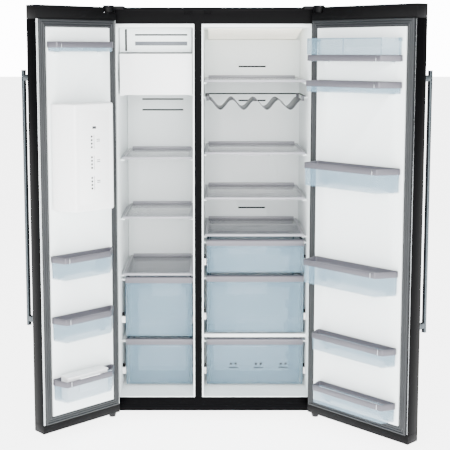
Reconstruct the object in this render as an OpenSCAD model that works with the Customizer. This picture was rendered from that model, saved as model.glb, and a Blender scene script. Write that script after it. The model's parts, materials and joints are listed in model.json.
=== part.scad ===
// Side by side refrigerator: freezer on the left, fresh food on the right, both doors swung open.
// Origin: on the floor, at the middle of the cabinet's front plane. +X right, +Y back, +Z up.

/* [Cabinet] */
// Width over the side panels
cab_w = 910; // [750:10:1100]
// Height of the header's top edge above the floor
cab_h = 1770; // [1470:10:2130]
// Depth of the cabinet, front frame to rear panel
body_d = 645; // [535:5:780]
// Height of the cabinet's underside above the floor
base_gap = 30; // [28:1:40]
// Thickness of the outer side walls, steel to liner
side_wall = 45; // [40:1:60]
// Thickness of the wall between the compartments
mullion_t = 44; // [38:1:60]
// Where the middle of that wall is, from the cabinet's middle
mullion_x = -66; // [-120:1:0]
// Header's top edge down to the compartment ceilings
ceiling_drop = 81; // [75:1:110]
// Height of the compartment floors above the floor
floor_z = 95; // [90:1:120]
// Thickness of the rear wall
rear_wall = 45; // [40:1:60]
// Sheet steel thickness of the case
steel_t = 1; // [0.8:0.1:2]
// Wall thickness of the plastic liners
liner_t = 2; // [1.5:0.5:3]
// Thickness of the front frame
frame_t = 3; // [2:0.5:5]
// Height of the header band
header_h = 68; // [60:1:80]

/* [Machine compartment] */
// Height of the compressor space above the cabinet's underside
mach_h = 230; // [215:5:280]
// Depth of the compressor space
mach_d = 190; // [180:5:230]

/* [Doors] */
// Thickness of a door without its seal
door_t = 66; // [60:1:90]
// Gap from the cabinet's front to the door's inner face
door_gap = 12; // [11:0.5:16]
// Gap between the two doors
door_seam = 3; // [2:0.5:6]
// Lower edge of the doors above the floor
door_z0 = 45; // [44:1:60]
// Hinge pin in from the cabinet's side
pivot_in = 17; // [15:1:22]
// Hinge pin behind the middle plane of the door
pivot_back = 2; // [0:0.5:4]
// Opening of the freezer door as drawn, from closed
freezer_open = 137; // [100:1:150]
// Opening of the fridge door as drawn, from closed
fridge_open = 134; // [100:1:150]
// Radius of the hinge pins
pin_r = 5; // [4:0.5:6]
// Width of the door seals
seal_w = 30; // [22:1:36]
// Thickness of the door seals
seal_t = 10.5; // [9:0.5:10.5]
// Height of each door's top end cap
cap_top = 54; // [46:1:70]
// Height of each door's bottom end cap
cap_low = 37; // [30:1:50]
// Upper end of the handles below the door's top edge
handle_drop = 253; // [150:1:400]
// Lower end of the handles above the floor
handle_z = 479; // [300:1:600]

/* [Dispenser] */
// Height of the dispenser housing
disp_h = 427; // [400:1:440]
// How far the housing stands into the freezer
disp_out = 125; // [90:1:125]
// Height of the dispenser niche
niche_h = 330; // [260:5:340]

/* [Shelves and drawers] */
// Front edge of the shelves and drawers behind the front plane
shelf_y = 130; // [126:1:160]
// Thickness of the shelf glass
glass_t = 4; // [3:0.5:6]
// Height of a shelf's front rim
rim_h = 11; // [9:1:16]
// Wall thickness of drawers, bins and the ice bin
tub_t = 2.5; // [2:0.5:4]
// Height of the freezer's fixed shelf
freezer_fixed_z = 612; // [605:1:650]
// Height of the fridge's fixed shelf
fridge_fixed_z = 788; // [780:1:850]
// Top fridge shelf below the ceiling
fridge_top_drop = 223; // [200:1:260]
// Height of a drawer's front grip
grip_h = 27; // [20:1:34]

/* [Hidden] */
$fn = 48;
eps = 0.01;
run_fit = 0.05; // radial clearance of a pin that turns in its hole
slack = 0.3; // gap between pieces that slide or lift past each other

// cabinet
half_w = cab_w / 2;
case_h = cab_h - 8; // the header stands 8 above the top panel
base_t = 2;
base_top = base_gap + base_t;
plinth_top = floor_z - 4;
ceil_z = cab_h - ceiling_drop;
frame_top = cab_h - header_h;
back_y = body_d - rear_wall;
mach_y = body_d - mach_d;
mach_top = base_gap + mach_h;
foam_over = 30; // foam in front of and above the machine compartment
step_y = mach_y - foam_over;
step_z = mach_top + foam_over + 5;
fz_x0 = -half_w + side_wall;
fz_x1 = mullion_x - mullion_t / 2;
fr_x0 = mullion_x + mullion_t / 2;
fr_x1 = half_w - side_wall;
rim_side = 12; // white flange beside an opening
rim_mull = 6.5;
duct_y = back_y - 62;
fridge_duct_y = back_y - 30;
feet_x = half_w - 90;
feet_y = 110;
roll_r = 14;
roll_y = body_d - 45;
roll_x = half_w - 75;

// things that hang from the ceilings, and shelves spread over the height below them
ice_z1 = ceil_z - 111;
ice_z0 = ice_z1 - 175;
top_shelf = ceil_z - fridge_top_drop;
rack_crest = top_shelf - 85;
rack_trough = rack_crest - 43;
rack_rail = rack_crest + 12;
fz_rise = ice_z0 - freezer_fixed_z;
fr_rise = rack_trough - 4 - fridge_fixed_z;
freezer_shelf_z = [freezer_fixed_z + 0.655 * fz_rise, freezer_fixed_z + 0.322 * fz_rise, freezer_fixed_z];
fridge_shelf_z = [top_shelf, fridge_fixed_z + 0.665 * fr_rise, fridge_fixed_z + 0.3 * fr_rise, fridge_fixed_z];

// doors
fz_w = half_w + mullion_x - door_seam / 2;
fr_w = half_w - mullion_x - door_seam / 2;
door_z1 = cab_h - 2;
inner_z0 = door_z0 + cap_low;
inner_z1 = door_z1 - cap_top;
seal_in = 9; // seal's outer edge in from the door's edge
pivot_fwd = door_gap + door_t / 2 - pivot_back; // pin in front of the cabinet's front plane
plug_in = seal_in + seal_w + 2; // liner plug's edge in from the door's edge
plug_t = door_gap - 1;
skin_t = 1.5;
pane_t = 4; // glass front with its backing sheet
notch_w = 60;
notch_z = door_z1 - 24;
bin_back = plug_t + 2;
lug_t = 9;
bush_r = pin_r + run_fit;

// dispenser, in door coordinates: s from the hinge edge, e inward from the door's inner face
disp_s0 = side_wall + 3;
disp_s1 = fz_w - plug_in - 1;
disp_f0 = disp_s0 + 66;
disp_f1 = disp_s1 - 46;
disp_z = ice_z0 - 18 - disp_h;
niche_w = disp_f1 - disp_f0;
niche_s = disp_f0;
niche_mid = niche_s + niche_w / 2;
niche_z = disp_z + 40;
niche_d = door_t + disp_out - 25;
paddle_z = niche_z + niche_h - 95;

module box(a, b) {
    translate(a) cube(b - a);
}

// true round corners: two bars and four discs
module rounded(w, h, r) {
    translate([r, 0]) square([w - 2 * r, h]);
    translate([0, r]) square([w, h - 2 * r]);
    for (x = [r, w - r], y = [r, h - r]) translate([x, y]) circle(r);
}

// an upright outline in Y and Z, drawn out along X
module along_x(x0, x1) {
    translate([x0, 0, 0]) rotate([90, 0, 90]) linear_extrude(x1 - x0) children();
}

// inside of a compartment, grown by g on every face but the front
module cavity(x0, x1, g) {
    along_x(x0 - g, x1 + g) polygon([[-1, floor_z - g], [step_y + g, floor_z - g],
        [step_y + g, step_z - g], [back_y + g, step_z - g], [back_y + g, ceil_z + g],
        [-1, ceil_z + g]]);
}

module outer_case() {
    color("#1c1d22") difference() {
        box([-half_w, frame_t, base_gap], [half_w, body_d - steel_t, case_h]);
        box([-half_w + steel_t, -1, base_gap - 1],
            [half_w - steel_t, body_d + 1, case_h - steel_t]);
    }
}

module rear_panel() {
    color("#8a8f93") box([-half_w, body_d - steel_t, mach_top], [half_w, body_d, case_h]);
}

module insulation() {
    inside = half_w - steel_t;
    color("#e8d9a8") difference() {
        along_x(-inside, inside) polygon([[frame_t, base_top], [mach_y, base_top],
            [mach_y, mach_top], [body_d - steel_t, mach_top],
            [body_d - steel_t, case_h - steel_t], [frame_t, case_h - steel_t]]);
        cavity(fz_x0, fz_x1, liner_t);
        cavity(fr_x0, fr_x1, liner_t);
    }
}

// ledge that a shelf or drawer slides on, on a wall at x that faces dir
module ledge(x, dir, wide, y1, z) {
    a = min(x, x + dir * wide);
    box([a, shelf_y + 22, z - 8], [a + wide, y1, z]);
}

// liner with its front flange and moulded ledges; ledges are [height, left width, right width]
module liner(x0, x1, f0, f1, ledges) {
    difference() {
        union() {
            intersection() {
                cavity(x0, x1, liner_t);
                box([x0 - 50, 0, 0], [x1 + 50, body_d, cab_h]);
            }
            box([f0, 0, plinth_top], [f1, frame_t, frame_top]);
        }
        cavity(x0, x1, 0);
    }
    for (l = ledges) {
        deep = l[0] < step_z + 60 ? step_y - 20 : back_y - 90;
        ledge(x0 - eps, 1, l[1] + eps, deep, l[0]);
        ledge(x1 + eps, -1, l[2] + eps, deep, l[0]);
    }
}

// shelves and drawers clear the open doors' hinge edges as they slide out
door_room = 10;
fz_shelf = [fz_x0 + door_room, fz_x1 - 5];
fr_shelf = [fr_x0 + 5, fr_x1 - door_room];
fz_tub = [fz_x0 + 18, fz_x1 - 7];
fr_tub = [fr_x0 + 13, fr_x1 - door_room - 1];

// drawers as [lower edge, upper edge, rear end]
low_drawer = [floor_z + 7, step_z + 18, step_y - 12];
fz_drawers = [[step_z + 28, freezer_fixed_z - 18, duct_y - 15], low_drawer];
fr_drawers = [[fridge_fixed_z - 176, fridge_fixed_z - 26, fridge_duct_y - 15],
    [step_z + 46, fridge_fixed_z - 188, fridge_duct_y - 15], low_drawer];
drawer_lip = 12; // a drawer hangs by its side lips, this far below its top

function hang(d) = [for (q = d) q[1] - drawer_lip - slack];
function under(zs) = [for (z = zs) z - rim_h - slack];

module freezer_liner() {
    color("#e9efee") liner(fz_x0, fz_x1, -half_w + side_wall - rim_side, fz_x1 + rim_mull,
        concat([for (z = under(freezer_shelf_z)) [z, door_room + 8, 12]],
            [for (z = hang(fz_drawers)) [z, 26, 15]], [[ice_z0 - slack, door_room + 8, 14]]));
}

module fridge_liner() {
    color("#e9efee") {
        liner(fr_x0, fr_x1, fr_x0 - rim_mull, half_w - side_wall + rim_side,
        concat([for (z = under(fridge_shelf_z)) [z, 12, door_room + 8]],
            [for (z = hang(fr_drawers)) [z, 21, 18]], [[rack_rail - slack, 11, door_room + 6]]));
        // rail across the front, between the two lower drawers
        box([fr_x0 - eps, shelf_y + 5, step_z + 25], [fr_x1 + eps, shelf_y + 45, step_z + 40]);
    }
}

module front_frame() {
    color("#23242b") difference() {
        union() {
            box([-half_w, 0, plinth_top], [half_w, frame_t, cab_h]);
            box([-half_w, 0, case_h], [half_w, 20, cab_h]);
        }
        box([-half_w + side_wall - rim_side, -1, plinth_top - 1],
            [fz_x1 + rim_mull, frame_t + 1, frame_top]);
        box([fr_x0 - rim_mull, -1, plinth_top - 1],
            [half_w - side_wall + rim_side, frame_t + 1, frame_top]);
        // corners cut away for the top hinges
        for (m = [0, 1]) mirror([m, 0, 0]) {
            box([half_w - 78, -1, case_h], [half_w + 1, 21, cab_h + 1]);
        }
        // two catch slots
        for (x = [mullion_x - 58, mullion_x + 26]) {
            box([x, -1, cab_h - 26], [x + 32, frame_t - 1, cab_h - 13]);
        }
    }
}

module base_frame() {
    color("#23242b") {
        difference() {
            union() {
                box([-half_w + steel_t, frame_t, base_gap], [half_w - steel_t, body_d - steel_t, base_top]);
                box([-half_w, 0, base_gap], [half_w, frame_t, plinth_top]);
                for (m = [-1, 1]) {
                    translate([m * feet_x, feet_y, base_gap - 12]) cylinder(h = 12 + eps, r = 13);
                    for (q = [-22, 16]) {
                        box([m * roll_x + q, roll_y - 12, roll_r - 8], [m * roll_x + q + 5, roll_y + 12, base_gap + eps]);
                    }
                }
            }
            for (m = [-1, 1]) {
                translate([m * feet_x, feet_y, 0]) cylinder(h = base_top + 1, r = 6 + run_fit);
            }
            translate([-half_w, roll_y, roll_r]) rotate([0, 90, 0]) cylinder(h = cab_w, r = 4 + run_fit);
        }
    }
}

module foot(x) {
    color("#3a3b3e") translate([x, feet_y, 0]) {
        cylinder(h = 9, r = 22, $fn = 64);
        cylinder(h = base_gap + 1, r = 6);
    }
}

module foot_left() foot(-feet_x);
module foot_right() foot(feet_x);

module rear_rollers() {
    color("#4a4c50") translate([0, roll_y, roll_r]) rotate([0, 90, 0]) {
        translate([0, 0, -roll_x - 30]) cylinder(h = 2 * roll_x + 60, r = 4);
        for (x = [-roll_x - 14, roll_x - 14]) translate([0, 0, x]) cylinder(h = 28, r = roll_r, $fn = 64);
    }
}

comp_x = half_w - 190;
mid_mach_y = mach_y + 92;

module compressor() {
    color("#202124") {
        translate([comp_x, mid_mach_y, base_top + 16]) {
            rotate_extrude($fn = 64) polygon([[0, 0], [48, 0], [74, 20], [80, 46], [80, 60], [83, 61],
                [83, 65], [80, 66], [78, 104], [64, 136], [34, 152], [0, 156]]);
            translate([-100, -58, -8]) cube([200, 116, 12]);
            for (x = [-84, 84], y = [-42, 42]) translate([x, y, -16]) cylinder(h = 16, r = 11);
            translate([-60, 20, 150 - 30]) cylinder(h = 60, r = 4);
            translate([45, 40, 95]) cylinder(h = 80, r = 5);
            translate([70, -32, 35]) cube([32, 60, 58]);
        }
    }
}

cond_x = -half_w + 60;
fan_x = cond_x + 215;
fan_z = base_top + 106;

module condenser() {
    fins = 19;
    pitch = 8;
    color("#9aa0a4") {
        translate([cond_x, mid_mach_y - 65, base_top]) {
            for (i = [0 : fins - 1]) translate([i * pitch, 0, 4]) cube([1.5, 130, 190]);
            for (y = [25, 65, 105], z = [35, 100, 165]) translate([-11, y, z]) rotate([0, 90, 0]) {
                cylinder(h = (fins - 1) * pitch + 23, r = 4);
            }
            for (x = [-13, (fins - 1) * pitch + 10]) translate([x, 0, 0]) cube([4, 130, 200]);
        }
        difference() {
            translate([fan_x - 4, mid_mach_y - 88, base_top]) cube([18, 176, 206]);
            translate([fan_x - 5, mid_mach_y, fan_z]) rotate([0, 90, 0]) cylinder(h = 20, r = 80, $fn = 64);
        }
        translate([fan_x + 13, mid_mach_y, fan_z]) rotate([0, 90, 0]) cylinder(h = 45, r = 24);
        translate([fan_x - 6, mid_mach_y, fan_z]) rotate([0, 90, 0]) cylinder(h = 21, r = 3);
        for (z = [-9, 3]) translate([fan_x + 13, mid_mach_y - 86, fan_z + z]) cube([5, 172, 6]);
    }
}

// rotor on a shaft along its own Z, with a bore for the shaft
module rotor(tip_r, hub_r, wide, blades) {
    difference() {
        union() {
            cylinder(h = wide, r = hub_r);
            for (i = [0 : blades - 1]) rotate([0, 0, i * 360 / blades]) {
                translate([hub_r - 3, 0, wide / 2]) rotate([32, 0, 0]) {
                    translate([0, -hub_r * 0.8, -1]) cube([tip_r - hub_r, hub_r * 1.6, 2]);
                }
            }
        }
        translate([0, 0, -1]) cylinder(h = wide + 2, r = 3 + run_fit);
        difference() {
            translate([0, 0, -40]) cylinder(h = 40 + wide + 40, r = tip_r + 40);
            translate([0, 0, 0]) cylinder(h = wide, r = tip_r, $fn = 64);
        }
    }
}

module condenser_fan() {
    color("#2c2d30") translate([fan_x - 4, mid_mach_y, fan_z]) rotate([0, 90, 0]) rotor(74, 20, 16, 5);
}

evap_x0 = fz_x0 + 22;
evap_x1 = fz_x1 - 22;
evap_mid = (evap_x0 + evap_x1) / 2;
evap_fan_z = 1010;
evap_z0 = 640;

module evaporator() {
    fins = 24;
    pitch = (evap_x1 - evap_x0 - 1.5) / (fins - 1);
    color("#b9bec1") {
        for (i = [0 : fins - 1]) translate([evap_x0 + i * pitch, duct_y + 10, evap_z0]) cube([1.5, 44, 250]);
        for (y = [12, 32], z = [25, 85, 145, 205]) {
            translate([evap_x0 - 10, duct_y + 10 + y, evap_z0 + z]) rotate([0, 90, 0]) {
                cylinder(h = evap_x1 - evap_x0 + 20, r = 4);
            }
        }
        // fan motor, its shaft and the plate that carries them
        translate([evap_mid, back_y - 3, evap_fan_z]) {
            translate([-90, 0, -14]) cube([180, 2.5, 28]);
            rotate([90, 0, 0]) cylinder(h = 24, r = 20);
            rotate([90, 0, 0]) cylinder(h = 50, r = 3);
        }
    }
}

module evaporator_fan() {
    color("#e6e8e8") translate([evap_mid, duct_y + 28, evap_fan_z]) rotate([90, 0, 0]) rotor(52, 16, 16, 5);
}

inlet_r = 13.2;
inlet_l = 13;
inlet_x = 30;
gland_x = 100;
inlet_z = base_top + 150;

module machine_cover() {
    slots = floor((inlet_x - 37 + half_w - 60) / 36);
    color("#4b4d52") difference() {
        box([-half_w + steel_t + 0.5, body_d - 2, base_top], [half_w - steel_t - 0.5, body_d, mach_top - 0.5]);
        for (i = [0 : slots], z = [50, 120, 190]) {
            box([-half_w + 60 + i * 36, body_d - 3, base_top + z - 22],
                [-half_w + 60 + i * 36 + 12, body_d + 1, base_top + z + 22]);
        }
        translate([inlet_x, body_d - 3, inlet_z]) rotate([-90, 0, 0]) cylinder(h = 5, r = 15);
        translate([gland_x, body_d - 3, inlet_z]) rotate([-90, 0, 0]) cylinder(h = 5, r = 9.5);
    }
}

module rear_connections() {
    color("#e4e4e0") {
        // water valve with its threaded inlet
        translate([inlet_x, body_d, inlet_z]) rotate([90, 0, 0]) {
            difference() {
                union() {
                    translate([0, 0, -inlet_l]) cylinder(h = inlet_l, r = inlet_r, $fn = 64);
                    translate([0, 0, -eps]) cylinder(h = 4, r = 11);
                    translate([0, 0, 2]) cylinder(h = 7, r = 19);
                }
                translate([0, 0, -inlet_l - 1]) cylinder(h = 16, r = 8);
            }
            translate([-25, -28, 8 - eps]) cube([50, 66, 34]);
            translate([-14, 38 - eps, 12]) cube([28, 26, 26]);
        }
        // gland for the mains lead
        translate([gland_x, body_d, inlet_z]) rotate([90, 0, 0]) difference() {
            union() {
                translate([0, 0, -9]) cylinder(h = 9, r = 12);
                translate([0, 0, -1]) cylinder(h = 24, r = 9);
            }
            translate([0, 0, -10]) cylinder(h = 40, r = 4.5);
        }
    }
}

// an arm with a round end at the hinge pin, from the pin back to y, drawn flat
module hinge_arm(r, y1) {
    circle(r);
    translate([-r, 0]) square([2 * r, y1 + pivot_fwd]);
}

module both_hinges() {
    for (m = [0, 1]) mirror([m, 0, 0]) translate([half_w - pivot_in, -pivot_fwd, 0]) children();
}

module hinge_brackets() {
    color("#3b3d42") both_hinges() {
        // top: plate on the cabinet with its pin hanging into the door
        translate([0, 0, case_h]) linear_extrude(5) {
            intersection() {
                union() {
                    hinge_arm(15, 100);
                    translate([-50, pivot_fwd + 8]) square([65, 90]);
                }
                translate([-50, -20]) square([50 + pivot_in - 1.5, 200]);
            }
        }
        translate([0, 0, notch_z - 26]) cylinder(h = case_h - notch_z + 26 + eps, r = pin_r);
        // bottom: arm from the plinth with its pin standing into the door
        translate([0, 0, base_gap - 8]) linear_extrude(door_z0 - base_gap + 6) hinge_arm(14, 0);
        translate([0, 0, base_gap]) cylinder(h = door_z0 - base_gap + 30, r = pin_r);
    }
}

module hinge_covers() {
    color("#17181b") both_hinges() difference() {
        union() {
            translate([0, 0, notch_z + 3]) linear_extrude(cab_h + 3 - notch_z) intersection() {
                hinge_arm(24, -0.5);
                translate([-60, -60]) square([60 + pivot_in, 200]);
            }
            translate([0, 0, case_h + slack]) linear_extrude(cab_h + 6 - case_h - slack) {
                translate([-60, pivot_fwd - 1]) square([60 + pivot_in, 110]);
            }
        }
        // room for the bracket and its pin
        translate([0, 0, notch_z]) linear_extrude(case_h + 5 + slack - notch_z) intersection() {
            union() {
                hinge_arm(17, 101);
                translate([-52, pivot_fwd + 6]) square([69, 94]);
            }
            translate([-52, -20]) square([52 + pivot_in - 1, 200]);
        }
    }
}

module freezer_duct_cover() {
    color("#e3e9e8") difference() {
        box([fz_x0 + 1, duct_y - 4, step_z + 1], [fz_x1 - 1, back_y - 1, ceil_z - 1]);
        box([fz_x0 + 4, duct_y, step_z + 4], [fz_x1 - 4, back_y, ceil_z - 4]);
        for (z = [ice_z0 - 94, ice_z0 - 43]) box([evap_mid - 90, duct_y - 5, z], [evap_mid + 105, duct_y + 1, z + 7]);
        box([evap_mid - 90, duct_y - 5, step_z + 60], [evap_mid + 90, duct_y + 1, step_z + 72]);
    }
}

fr_mid = (fr_x0 + fr_x1) / 2;

module fridge_duct_cover() {
    color("#dfe6e5") difference() {
        box([fr_x0 + 1, fridge_duct_y - 4, step_z + 1], [fr_x1 - 1, back_y - 1, ceil_z - 46]);
        box([fr_x0 + 4, fridge_duct_y, step_z + 4], [fr_x1 - 4, back_y, ceil_z - 49]);
        for (z = [ceil_z - 176, ceil_z - 337, fridge_fixed_z + 47]) {
            box([fr_mid - 65, fridge_duct_y - 5, z], [fr_mid + 65, fridge_duct_y + 1, z + 7]);
        }
    }
}

module lamp_cover() {
    y0 = 250;
    y1 = fridge_duct_y - 6;
    color("#f6f2e6") difference() {
        along_x(fr_x0 + 20, fr_x1 - 20) {
            polygon([[y0, ceil_z - 0.5], [y0, ceil_z - 4], [y1, ceil_z - 43], [y1, ceil_z - 0.5]]);
        }
        along_x(fr_x0 + 23, fr_x1 - 23) {
            polygon([[y0 + 20, ceil_z + 1], [y0 + 20, ceil_z - 4], [y1 - 3, ceil_z - 39.5],
                [y1 - 3, ceil_z + 1]]);
        }
    }
}

module ice_maker() {
    x0 = fz_x0 + 20;
    x1 = fz_x1 - 8;
    color("#d5dcdb") difference() {
        union() {
            box([x0, shelf_y + 4, ice_z1 + 12], [x1, duct_y - 20, ceil_z - 0.5]);
            box([fz_x0 + 4, shelf_y, ice_z1 + 6], [x1, shelf_y + 5, ceil_z - 0.5]);
        }
        box([x0 + 6, shelf_y + 30, ice_z1], [x1 - 6, duct_y - 30, ceil_z - 12]);
        box([x0 + 50, shelf_y - 1, ice_z1 + 35], [x1 - 18, shelf_y + 20, ice_z1 + 52]);
        box([x0 + 50, shelf_y - 1, ice_z1 + 77], [x1 - 18, shelf_y + 20, ice_z1 + 84]);
        box([fz_x0 + 27, shelf_y - 1, ice_z1 + 11], [fz_x0 + 36, shelf_y + 10, ceil_z - 6]);
    }
}

module ice_bin() {
    color("#f4f6f6") {
        difference() {
            union() {
                box([fz_x0 + 16, 70, ice_z0], [fz_x1 - 16, duct_y - 40, ice_z1 - 18]);
                box([fz_x0 + door_room, 60, ice_z0], [fz_x1 - 4, 74, ice_z1]);
                box([fz_x0 + door_room, 70, ice_z0], [fz_x1 - 4, duct_y - 60, ice_z0 + 6]);
            }
            box([fz_x0 + 19, 78, ice_z0 + 4], [fz_x1 - 19, duct_y - 43, ice_z1]);
            box([evap_mid - 50, 82, ice_z0 - 1], [evap_mid + 50, 150, ice_z0 + 5]);
        }
    }
}

// glass plate with a rim round it and a raised back edge; grip adds a finger lip under the front
module shelf(xs, y0, y1, z, grip) {
    difference() {
        box([xs[0], y0, z - rim_h], [xs[1], y1, z]);
        box([xs[0] + 14, y0 + 16, z - rim_h - 1], [xs[1] - 14, y1 - 14, z - glass_t]);
    }
    box([xs[0] + 14, y1 - 8, z - eps], [xs[1] - 14, y1, z + 10]);
    if (grip) box([(xs[0] + xs[1]) / 2 - 65, y0, z - rim_h - 5], [(xs[0] + xs[1]) / 2 + 65, y0 + 18, z - rim_h + eps]);
}

module fixed_shelves() {
    color("#b9c4c8") {
        shelf(fz_shelf, shelf_y, duct_y - 12, freezer_shelf_z[2], false);
        shelf(fr_shelf, shelf_y, fridge_duct_y - 12, fridge_shelf_z[3], false);
    }
}

module freezer_shelf_upper() color("#b9c4c8") shelf(fz_shelf, shelf_y, duct_y - 12, freezer_shelf_z[0], false);
module freezer_shelf_middle() color("#b9c4c8") shelf(fz_shelf, shelf_y, duct_y - 12, freezer_shelf_z[1], false);
module fridge_shelf_top() color("#b9c4c8") shelf(fr_shelf, shelf_y, fridge_duct_y - 12, fridge_shelf_z[0], false);
module fridge_shelf_upper() color("#b9c4c8") shelf(fr_shelf, shelf_y, fridge_duct_y - 12, fridge_shelf_z[1], true);
module fridge_shelf_middle() color("#b9c4c8") shelf(fr_shelf, shelf_y, fridge_duct_y - 12, fridge_shelf_z[2], false);

// wavy cradle for lying bottles between two side rails, with a stop rod at the back
module bottle_rack() {
    x0 = fr_x0 + 14;
    x1 = fr_x1 - door_room - 8;
    y1 = shelf_y + 300;
    n = 4;
    steps = 12;
    thick = 3;
    swing = (rack_crest - rack_trough) / 2;
    wave = [for (i = [0 : n * steps]) [x0 + 8 + (x1 - x0 - 16) * i / (n * steps),
        rack_trough + swing + swing * cos(360 * i / steps)]];
    color("#7f858a") {
        translate([0, y1, 0]) rotate([90, 0, 0]) linear_extrude(y1 - shelf_y - 4) {
            polygon(concat(wave, [for (i = [len(wave) - 1 : -1 : 0]) wave[i] - [0, thick]]));
        }
        translate([x0 - 2, y1 - 8, rack_rail + 1]) rotate([0, 90, 0]) {
            cylinder(h = x1 - x0 + 3, r = 3);
        }
        for (x = [x0 - 2, x1 - 11], y = [shelf_y + 4, y1 - 16]) {
            box([x, y, rack_crest - 6], [x + 12, y + 12, rack_rail + 3]);
        }
        for (x = [x0 - 8, x1]) box([x, shelf_y + 4, rack_rail], [x + 8, y1, rack_rail + 3]);
    }
}

// tub with side lips, a front plate and a grip band over its top edge
module drawer(xs, y0, d, dividers) {
    x0 = xs[0];
    x1 = xs[1];
    z0 = d[0];
    z1 = d[1];
    y1 = d[2];
    in = 10;
    lip = z1 - drawer_lip;
    difference() {
        union() {
            box([x0 + in, y0 + 6, z0], [x1 - in, y1, z1 - 8]);
            box([x0, y0 + 6, lip], [x1, y1, lip + 4]);
            box([x0, y0 + 2, z0 + 2], [x1, y0 + 6 + eps, z1 - 2]);
            box([x0, y0 - 6, z1 - grip_h], [x1, y0 + 6, z1]);
        }
        box([x0 + in + tub_t, y0 + 9, z0 + tub_t], [x1 - in - tub_t, y1 - tub_t, z1 + 1]);
        box([x0 + 6, y0 - 3, z1 - grip_h - 1], [x1 - 6, y0 + 2, z1 - 5]);
    }
    for (x = dividers) box([x, y0 + 9 - eps, z0 + tub_t - eps], [x + tub_t, y1 - tub_t + eps, z1 - 60]);
}

module freezer_drawer_upper() color("#a9bcc4") drawer(fz_tub, shelf_y + 8, fz_drawers[0], []);
module freezer_drawer_lower() color("#a9bcc4") drawer(fz_tub, shelf_y + 8, fz_drawers[1], []);
module fridge_drawer_upper() color("#a9bcc4") drawer(fr_tub, shelf_y + 8, fr_drawers[0], []);
module fridge_drawer_middle() color("#a9bcc4") drawer(fr_tub, shelf_y + 8, fr_drawers[1], []);
module fridge_drawer_lower() color("#a9bcc4") drawer(fr_tub, shelf_y + 8, fr_drawers[2], [fr_mid]);

// door coordinates: s from the hinge edge, e inward from the inner face, then swung open
module hang_left() {
    translate([-half_w + pivot_in, -pivot_fwd, 0]) rotate([0, 0, -freezer_open]) {
        translate([-pivot_in, pivot_fwd - door_gap, 0]) children();
    }
}

module hang_right() {
    mirror([1, 0, 0]) translate([-half_w + pivot_in, -pivot_fwd, 0]) rotate([0, 0, -fridge_open]) {
        translate([-pivot_in, pivot_fwd - door_gap, 0]) children();
    }
}

module hinge_bores() {
    for (z = [door_z0 - 1, notch_z - 32]) {
        translate([pivot_in, door_gap - pivot_fwd, z]) cylinder(h = 33, r = bush_r);
    }
}

// black outer skin with its two end caps; hole is the dispenser opening as [s, z, width, height]
module door_shell(w, hole) {
    difference() {
        box([0, -door_t, inner_z0], [w, 0, inner_z1]);
        box([skin_t, -door_t + pane_t, inner_z0 - 1], [w - skin_t, 1, inner_z1 + 1]);
        if (hole) box([hole[0], -door_t - 1, hole[1]], [hole[0] + hole[2], -door_t + 10, hole[1] + hole[3]]);
    }
    difference() {
        union() {
            box([0, -door_t, door_z0], [w, 0, inner_z0 - slack]);
            box([0, -door_t, inner_z1 + slack], [w, 0, door_z1]);
        }
        box([-1, -door_t - 1, notch_z], [notch_w, 1, door_z1 + 1]);
        hinge_bores();
    }
}

module door_core(w, hole) {
    difference() {
        union() {
            box([skin_t, -door_t + pane_t, inner_z0], [w - skin_t, -liner_t, inner_z1]);
            plug(w, liner_t, -liner_t - eps, plug_t - liner_t);
        }
        if (hole) box([hole[0], -door_t, hole[1]], [hole[0] + hole[2], plug_t, hole[1] + hole[3]]);
    }
}

// raised middle of a door's inner face, g smaller all round, from depth e0 to e1
module plug(w, g, e0, e1) {
    up = plug_in - seal_in + g;
    box([plug_in + g, e0, inner_z0 + up], [w - plug_in - g, e1, inner_z1 - up]);
}

// moulded inner face with a pair of lugs under each bin; bins are [s0, s1, lower edge]
module door_liner(w, hole, bins) {
    difference() {
        union() {
            box([skin_t, -liner_t, inner_z0], [w - skin_t, 0, inner_z1]);
            plug(w, 0, -eps, plug_t);
        }
        plug(w, liner_t, -liner_t - 1, plug_t - liner_t);
        if (hole) box([hole[0], -liner_t - 1, hole[1]], [hole[0] + hole[2], plug_t + 1, hole[1] + hole[3]]);
    }
    for (b = bins, s = [b[0] + 34, b[1] - 58]) {
        box([s, plug_t - eps, b[2] - 10], [s + 24, plug_t + lug_t, b[2] - slack]);
    }
}

module door_seal(w) {
    inset = seal_in + seal_w;
    difference() {
        box([seal_in, 0, inner_z0], [w - seal_in, seal_t, inner_z1]);
        box([inset, -1, inner_z0 + seal_w], [w - inset, seal_t + 1, inner_z1 - seal_w]);
    }
}

// square bar held off the door on two posts, near the free edge
module door_handle(w) {
    s0 = w - 17;
    off = 33;
    z1 = door_z1 - handle_drop;
    box([s0, -door_t - off - 14, handle_z], [s0 + 16, -door_t - off, z1]);
    for (z = [handle_z + 18, z1 - 42]) {
        box([s0 + 1, -door_t - off - 1, z], [s0 + 15, -door_t, z + 24]);
    }
}

module housing_outline(g) {
    polygon([[disp_s0 + g, plug_t + slack], [disp_f0 + g, disp_out - g], [disp_f1 - g, disp_out - g],
        [disp_s1 - g, plug_t + slack]]);
}

disp_hole = [niche_s, niche_z, niche_w, niche_h];

module dispenser_housing() {
    color("#f0f3f3") hang_left() difference() {
        translate([0, 0, disp_z]) linear_extrude(disp_h) housing_outline(0);
        translate([0, 0, disp_z + 3]) linear_extrude(disp_h - 6) housing_outline(3);
        // ice drops in through this slot from the bin above
        box([niche_mid - 35, plug_t + 30, disp_z + disp_h - 4], [niche_mid + 35, plug_t + 90, disp_z + disp_h + 1]);
        box([niche_s - 2, 0, niche_z - 2], [niche_s + niche_w + 2, plug_t + 8, niche_z + niche_h + 2]);
    }
}

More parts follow.
